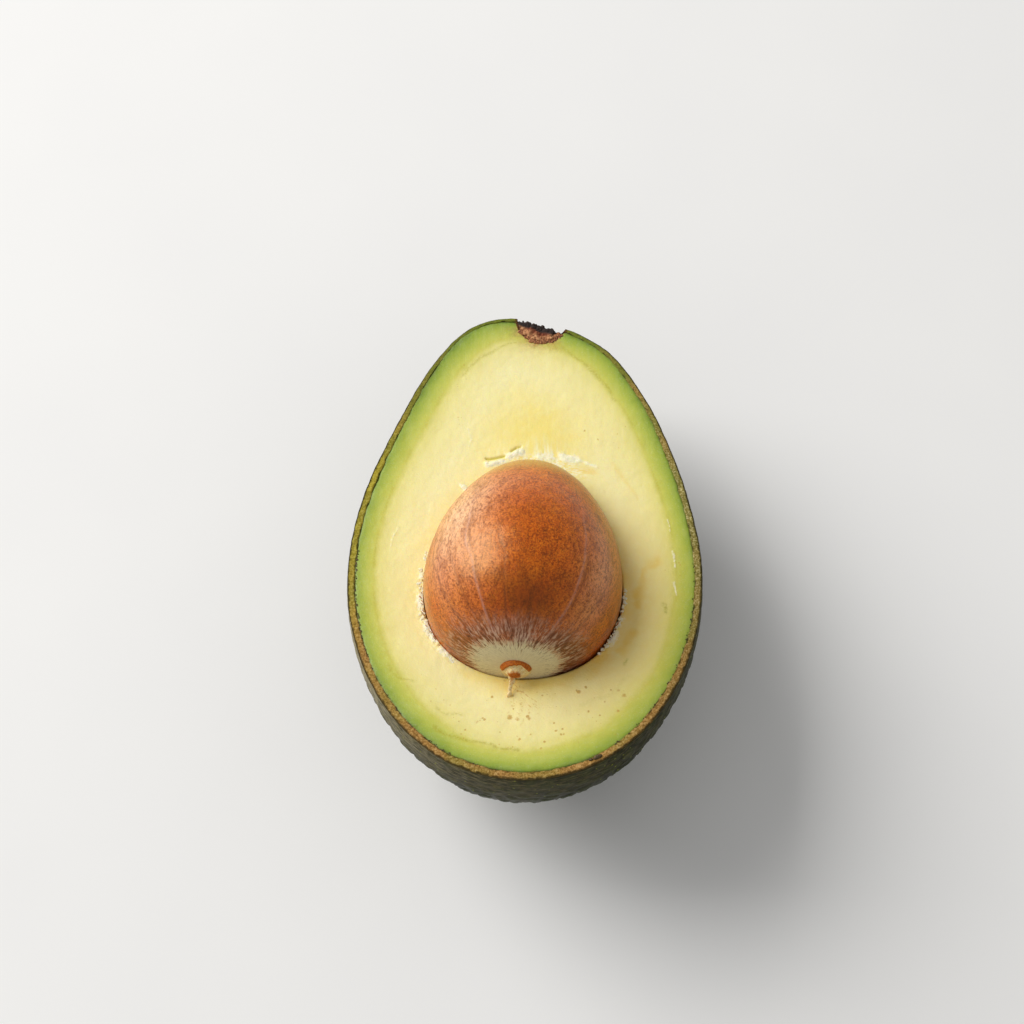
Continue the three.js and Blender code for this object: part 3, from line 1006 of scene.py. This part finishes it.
# ---- the seed
def seed_material():
    n = Nodes("seed_coat")
    fibre = n.vector("fibre")
    speckle = n.noise(0.32, 5.0, roughness=0.85)
    cloth = n.noise(0.46, 3.0, place=n.vector("cloth"), roughness=0.7)
    grain = n.noise(1.0, 4.0, place=fibre, roughness=0.65)
    hair = n.noise(0.34, 3.0, place=fibre, roughness=0.7)
    painted_highlight = n.value("painted_highlight")
    from_cap = n.value("cap")  # from the blunt end, millimetres
    patchy = n.stirred(speckle, n.noise(2.6, 3.0), 0.12)
    colour = n.tones(n.noise(5.0, 3.0), (0.30, 206, 84, 0), (0.5, 216, 100, 2), (0.72, 224, 118, 14))
    # Fewer dark speckles inside the painted highlight.
    dark = n.times(n.span(patchy, 0.50, 0.62, 0.0, 0.88), n.span(painted_highlight, 0.0, 1.0, 1.0, 0.5))
    colour = n.coats(
        colour,
        # the painted highlight's pale peach
        (painted_highlight, 252, 204, 156),
        (n.value("amber"), 196, 86, 0),
        (n.span(grain, 0.46, 0.72, 0.0, 0.60), 128, 50, 8),
        (n.span(cloth, 0.47, 0.66, 0.0, 0.80), 116, 40, 6),
        (dark, 106, 34, 2),
        (n.span(patchy, 0.49, 0.37, 0.0, 0.55), 244, 148, 40),
        # olive-tan painted reflection of the flesh on the seed's edges
        (n.times(n.value("tan_with_painted_light"), n.span(hair, 0.62, 0.38, 0.45, 1.0)), 200, 160, 84),
    )
    # darker brown, partly painted shade on the seed's right near the cap
    low = n.mix(n.span(grain, 0.4, 0.6), srgb(128, 50, 4), srgb(84, 30, 2))
    dusk = n.mix(n.span(hair, 0.40, 0.62), srgb(184, 138, 118), srgb(94, 42, 24))
    colour = n.mix(n.value("low"), colour, low)
    colour = n.mix(n.value("purple"), colour, dusk)
    feather = n.times(n.span(hair, 0.50, 0.38), n.span(from_cap, 16.0, 9.0, 0.0, 0.75))
    colour = n.coats(
        colour,
        (n.times(n.value("dark_vein"), n.span(hair, 0.3, 0.6, 0.25, 0.7)), 92, 40, 28),
        (n.times(n.value("pale_vein"), n.span(hair, 0.3, 0.6, 0.25, 0.65)), 204, 160, 148),
        (feather, 220, 188, 160),
    )
    cream = n.tones(hair, (0.3, 204, 190, 150), (0.55, 232, 218, 178), (0.78, 186, 158, 112))
    ragged = n.stirred(n.stirred(from_cap, hair, 7.0), grain, 3.0)
    cap = n.span(ragged, BLUNT_CAP + 0.7, BLUNT_CAP - 1.6)
    colour = n.mix(cap, colour, cream)
    strokes = n.times(n.span(hair, 0.54, 0.62), n.span(from_cap, 4.0, 7.5, 0.0, 0.8))
    colour = n.coats(colour, (n.times(strokes, n.span(from_cap, 13.0, 9.5)), 74, 44, 30))
    n.bumps([
        (n.noise(1.6, 3.0), 0.20, 0.14),
        (grain, 0.22, 0.10),
        (cloth, 0.40, 0.07),
        (speckle, 0.42, 0.06),
    ])
    return n.finish(
        Base_Color=colour,
        Roughness=n.math("MULTIPLY_ADD", cap, 0.2, n.span(speckle, 0.3, 0.7, 0.24, 0.37)),
        Specular_IOR_Level=0.80,
        Specular_Tint=(1.0, 0.72, 0.38, 1.0),
    )


# Veins of the seed coat run from the cap: the angle round the seed where each starts and ends, how far
# it runs from the blunt end, and whether it is pale.
SEED_VEINS = [
    (-52, -66, 40, False), (-38, -50, 36, False), (-27, -37, 44, True), (-24, -34, 40, False),
    (-9, -12, 34, False), (40, 37, 42, True), (43, 40, 40, False), (58, 66, 36, False),
    (84, 96, 36, False),
    (128, 120, 40, True), (176, 182, 38, False), (222, 214, 40, True), (262, 270, 36, False),
]


def seed():
    """The seed with its speckled coat, its pale cap and its veins."""
    from_end = run(SEED)
    top = math.atan2(SEED_AXES[1, 2], SEED_AXES[0, 2])
    right = SEED_AXES.T @ np.array([math.cos(top + 1), math.sin(top + 1), 0])
    angle = wrapped(SEED_TURN - top) * math.copysign(1, right[0])
    from_middle = SEED - SEED_MIDDLE
    lengthways = (from_middle @ SEED_AXES[2])[..., None] * SEED_AXES[2]
    from_axis = norm(from_middle - lengthways)
    dark_vein = np.zeros(angle.shape)
    pale_vein = np.zeros(angle.shape)
    for start, end, length, pale in SEED_VEINS:
        t = np.clip((from_end - 7.0) / (length - 7.0), 0, 1.2)
        middle = np.radians(start + (end - start) * t) + 0.035 * noise(SEED, 5.0, 80)
        away = np.abs(wrapped(angle - middle)) * from_axis
        line = bump(away, 0, 0.22 if pale else 0.26) * ease(from_end, 6.0, 11.0)
        line = line * (1 - ease(from_end, length - 18, length)) * (0.75 + 0.35 * noise(SEED, 1.6, 84))
        shown = pale_vein if pale else dark_vein
        np.maximum(shown, line, out=shown)
    depth = 0.10 * (noise(SEED, 7.0, 81) + 1) + 0.05 * (rough(SEED, 2.2, 3, 82) + 1)
    depth += 0.05 * dark_vein - 0.03 * pale_vein
    depth += 0.35 * bump(from_end, 0.0, 5.0)
    placed = SEED - grid_normals(SEED) * (depth + 0.05)[..., None]
    turned = np.degrees(angle) + 5 * noise(SEED, 6.0, 85)
    amber = patch(turned, 1, 19.0, from_end, 28, 12.0)
    # Painted highlight: a pale peach where the soft box shines on the seed's upper left, and a weaker
    # painted sheen on its right.
    painted_highlight = patch(turned, -42, 27.0, from_end, 35.0, 13.5)
    painted_highlight = np.maximum(painted_highlight, 0.40 * patch(turned, 56, 16.0, from_end, 24, 11.0))
    cap = from_end * (1 + 0.42 * np.cos(np.clip(angle, -math.pi / 2, math.pi / 2)) ** 2)
    cap *= 1 - 0.06 * bump(turned, -72, 30.0)
    # A darker brown patch mid-seed and a collar round the cap; the collar's stronger right side is
    # painted shade, on the side away from the light.
    low = 0.80 * patch(cap, 20.5, 7.5, turned, 6, 27.0)
    collar = ease(cap, 7.5, 9.5) * (1 - ease(cap, 11.0, 15.0))
    for strength, sideways in ((0.8, turned), (0.45, -turned)):
        low = np.maximum(low, strength * collar * ease(sideways, 22, 44))
    purple = ease(cap, 6.5, 8.5) * (1 - ease(cap, 11.5, 19.0))
    purple *= 0.25 + 0.75 * bump(turned, -2, 38.0)
    purple *= 0.5 + 0.5 * ease(noise(SEED, 3.0, 83), -0.5, 0.4)
    # Painted reflection: an olive-tan tint along the seed's low edges beside the cut face and over its
    # top, standing in for the bright flesh seen in it at grazing angles.
    tan_with_painted_light = 0.7 * (1 - ease(SEED[..., 2], 1.0, 8.5)) * ease(SEED[..., 1], -24.0, -10.0)
    tan_with_painted_light = np.maximum(tan_with_painted_light, 0.95 * ease(SEED[..., 1], 6.5, 11.0))
    fibre = tube(9.0, SEED_TURN, 0.22 * from_end)
    cloth = SEED - 0.55 * lengthways
    values = {"dark_vein": dark_vein, "pale_vein": pale_vein, "amber": 0.9 * amber,
              "painted_highlight": 0.95 * painted_highlight, "low": low, "purple": purple, "tan_with_painted_light": tan_with_painted_light, "cap": cap,
              "fibre": fibre, "cloth": cloth}
    piece = make("seed_coat", ring_mesh(placed), seed_material(), values)
    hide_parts("seed")


# ---- the seed's corky stalk
def stalk_material():
    n = Nodes("stalk_cork")
    fine = n.noise(0.30, 4.0, roughness=0.65)
    cork = n.tones(fine, (0.3, 216, 168, 92), (0.5, 244, 214, 148), (0.7, 252, 238, 192))
    rust = n.mix(n.span(fine, 0.35, 0.65), srgb(206, 114, 14), srgb(158, 72, 2))
    n.bumps([(fine, 0.6, 0.12), (n.noise(0.9, 3.0), 0.4, 0.2)])
    return n.finish(
        Base_Color=n.mix(n.value("brown"), cork, rust),
        Roughness=0.60,
        Specular_IOR_Level=0.3,
        Subsurface_Weight=0.08,
        Subsurface_Radius=(1.0, 0.6, 0.3),
        Subsurface_Scale=0.0005,
    )


def stalk():
    """A low dome on the seed's blunt end, with a raised crescent above and a torn strand below."""
    r = np.linspace(0.0, 1.0, 60)[:, None] * NUB_RADIUS
    flat = tube(r, turns(160), 0)
    x, up = flat[..., 0], flat[..., 1]
    blunt = SEED_AXES[2]
    side = np.cross(blunt, (0, 0, 1.0))
    side /= np.linalg.norm(side)
    side *= np.sign(side[0])
    upward = np.cross(side, blunt)
    upward *= np.sign(upward[2])
    _, tree = solid("seed")
    tip = SEED_MIDDLE + blunt * (reach(tree, SEED_MIDDLE, blunt[None])[0] - 0.5) - 1.5 * upward
    sag = (x**2 + (up - 1.2) ** 2) / 34.0
    wobble = 0.16 * rough(flat, 1.3, 3, 89)
    mound = np.exp(-(((x + 0.1) / 1.65) ** 2 + ((up - 0.35) / 1.25) ** 2) ** 1.6)
    ring = bump(r + wobble, 2.7, 0.50) * ease(up / NUB_RADIUS, -0.10, 0.30)
    dent = patch(x, -0.1, 1.35, up, 0.45, 1.0)
    lumps = 0.16 * rough(flat, 0.9, 4, 90)
    fade = 1 - ease(r / NUB_RADIUS, 0.72, 1.0)
    rise = (0.35 + 1.55 * mound + 0.55 * ring - 0.35 * dent + lumps) * fade - 0.25 * (1 - fade) - sag
    across = x[..., None] * side + up[..., None] * upward
    face = tip + across + rise[..., None] * blunt
    back = tip + across * 0.98 + (-0.9 - sag)[..., None] * blunt
    brown = np.clip(1.5 * ring + 1.2 * dent + 0.2 * rough(flat, 0.5, 3, 91), 0, 1)
    brown = ease(brown, 0.35, 0.75)
    material = stalk_material()
    nub = make("stalk_nub", ring_mesh(np.concatenate([face, back[::-6]])), material,
               {"brown": np.concatenate([brown, brown[::-6]])})
    low, _ = (to_face(np.array(c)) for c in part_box("seed_stalk"))
    root = tip + blunt * 1.0 - upward * 0.5 - side * 0.75
    end = np.array([root[0] - 0.45, low[1] + 0.15, 0.30])
    t = np.linspace(0, 1, 60)[:, None]
    line = root + (end - root) * t + np.array([0.25, 0, -0.5]) * (t * (1 - t)) * 2.0
    line[:, 0] += 0.12 * np.sin(7 * t[:, 0])
    width = 0.58 * (1 - t) + 0.26 * t + 0.10 * noise(line, 0.8, 92)[:, None] + 0.20 * bump(t, 0.93, 0.10)
    turn = turns(24)
    a, b = np.array([1.0, 0.1, 0]), np.array([0, 0.45, 0.9])
    way = np.cos(turn)[None, :, None] * a + np.sin(turn)[None, :, None] * b
    torn = line[:, None] + way * width[..., None]
    torn += way * 0.16 * rough(torn, 0.5, 3, 93)[..., None]
    core = ease(np.sin(turn)[None], 0.7, 1.0) * 0.6 * bump(t, 0.2, 0.2)
    strand = make("stalk_strand", ring_mesh(torn), material, {"brown": np.clip(core, 0, 1)})
    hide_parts("seed_stalk")
    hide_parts("seed_stalk")


# ---- the dried stem
def stem_material():
    n = Nodes("stem_bark")
    fine = n.noise(0.4, 5.0, roughness=0.7)
    top = n.tones(fine, (0.3, 20, 12, 10), (0.6, 50, 32, 26), (0.8, 104, 76, 58))
    low = n.tones(fine, (0.3, 86, 36, 18), (0.55, 142, 72, 40), (0.75, 206, 140, 90))
    wall = n.mix(n.span(fine, 0.35, 0.65), srgb(166, 100, 62), srgb(222, 170, 118))
    low = n.mix(n.value("wall"), low, wall)
    n.bumps([(fine, 0.9, 0.3)])
    return n.finish(Base_Color=n.mix(n.value("low"), top, low), Roughness=0.85)


def lumpy_copy(node, around, rings, depth):
    """A dense lumpy copy of a small CAD solid, in rings of points."""
    points, tree = solid(node)
    middle = (points.min(0) + points.max(0)) / 2
    ways = ball(np.linspace(0.02, math.pi - 0.02, rings), turns(around))[0][..., [0, 2, 1]]
    radii = reach(tree, middle, ways)
    radii = np.where(np.isnan(radii), np.nanmedian(radii), radii)
    base = middle + ways * radii[..., None]
    return base + ways * depth(base)[..., None]


def bark_depth(base):
    big, _ = scattered(base, 1.1, 100)
    little, _ = scattered(base, 0.5, 107)
    lumps = 0.45 * ease(-big, -0.75, -0.1) + 0.2 * ease(-little, -0.7, -0.1)
    return lumps + 0.2 * rough(base, 1.2, 4, 100)


def stem():
    """The dried stem in its hollow: bark, crumbs on its dark end and shreds round its lower wall."""
    rings = lumpy_copy("stem_plug", 240, 150, bark_depth)
    slope = rings[..., 1] + STEM_SLANT * (rings[..., 0] - HOLLOW[0]) + 0.35 * noise(rings, 1.0, 101)
    low = 1 - ease(slope, HOLLOW[1] - 3.1, HOLLOW[1] - 2.3)
    beside = norm(rings - HOLLOW) + 0.3 * noise(rings, 0.7, 102)
    values = {"low": low, "wall": ease(beside, HOLLOW_RADIUS - 1.5, HOLLOW_RADIUS - 0.4)}
    piece = make("stem_bark", ring_mesh(rings), stem_material(), values)
    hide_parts("stem_plug")
    bits = []
    for d in draws(90, 6, 105):
        x = -4.0 + 8.0 * d[0]
        down = 3.6 * d[1] ** 1.6
        y = HOLLOW[1] - STEM_SLANT * x - 1.4 + 0.5 * (d[2] - 0.5)
        size = 0.16 + 0.26 * d[3]
        if x * x + (down + HOLLOW[2]) ** 2 < 17.0:
            place = (HOLLOW[0] + x, y, -0.1 - down)
            bits.append((place, (size, size * (0.7 + 0.5 * d[4]), size), 360 * d[5]))
    scatter("stem_crumbs", bits, crumb_material("stem_crumbs", (18, 11, 10), (74, 52, 42), 0.85))
    bits = []
    for d in draws(150, 6, 106):
        angle = math.radians(-156 + 114 * d[0])
        away = HOLLOW_RADIUS - 0.7 + 1.05 * d[1]
        flat = math.sqrt(max(away**2 - HOLLOW[2] ** 2, 0))
        size = 0.10 + 0.20 * d[3]
        x, y = HOLLOW[0] + flat * math.cos(angle), HOLLOW[1] + flat * math.sin(angle)
        turn = math.degrees(angle) + 60 * (d[5] - 0.5)
        bits.append(((x, y, -0.12 + 0.1 * d[2]), (size * (1 + d[4]), size, size * 0.8), turn))
    shred_bark = crumb_material("stem_shreds", (84, 38, 20), (192, 128, 80), 0.8)
    scatter("stem_shreds", bits, shred_bark)


# ---- light, floor and camera
def stage():
    corners = [(x * FLOOR_HALF, y * FLOOR_HALF, 0) for x, y in ((-1, -1), (1, -1), (1, 1), (-1, 1))]
    mesh = bpy.data.meshes.new("floor")
    mesh.from_pydata(corners, [], [(0, 1, 2, 3)])
    floor = link("floor", mesh)
    n = Nodes("floor_paper")
    tone = n.ramp(n.noise(40.0, 2.0), [(0.2, (0.885, 0.885, 0.885)), (0.8, (0.91, 0.91, 0.905))])
    mesh.materials.append(n.finish(Base_Color=tone, Roughness=0.7))


def aim(thing, place, target):
    """Puts a light or the camera at a place, looking at a target, both in the face frame."""
    place, target = Vector(to_row(place)), Vector(to_row(target))
    up = Vector(AXES[1])
    back = (place - target).normalized()
    right = up.cross(back).normalized()
    turned = Matrix((right, back.cross(right), back)).transposed()
    thing.matrix_world = Matrix.Translation(place) @ turned.to_4x4()


def lights():
    """One soft box high up at the left, and an even room round it."""
    light = bpy.data.lights.new("key", "AREA")
    light.size = KEY_SIZE
    light.energy = KEY_POWER
    light.color = KEY_COLOUR
    aim(link("key", light), KEY_PLACE, (0, 0, 0))
    world = bpy.data.worlds.new("room")
    world.use_nodes = True
    colour, strength = world.node_tree.nodes["Background"].inputs[:2]
    colour.default_value = ROOM_COLOUR
    strength.default_value = ROOM_LIGHT
    bpy.context.scene.world = world


def camera():
    lens = bpy.data.cameras.new("camera")
    lens.lens = CAMERA_LENS
    lens.sensor_width = SENSOR
    lens.clip_start = 0.01
    thing = link("camera", lens)
    tilt, side = math.radians(CAMERA_TILT), math.radians(CAMERA_SIDE)
    back = np.array([math.sin(side) * math.cos(tilt), -math.sin(tilt), math.cos(side) * math.cos(tilt)])
    aim(thing, np.array(CAMERA_AIM) + back * CAMERA_DISTANCE, CAMERA_AIM)
    bpy.context.scene.camera = thing


# ---- making it all
bpy.context.scene.view_settings.view_transform = "Standard"
camera()
stage()
lights()
flesh(peel())
seed()
stalk()
stem()
crumbs()
bpy.context.view_layer.update()
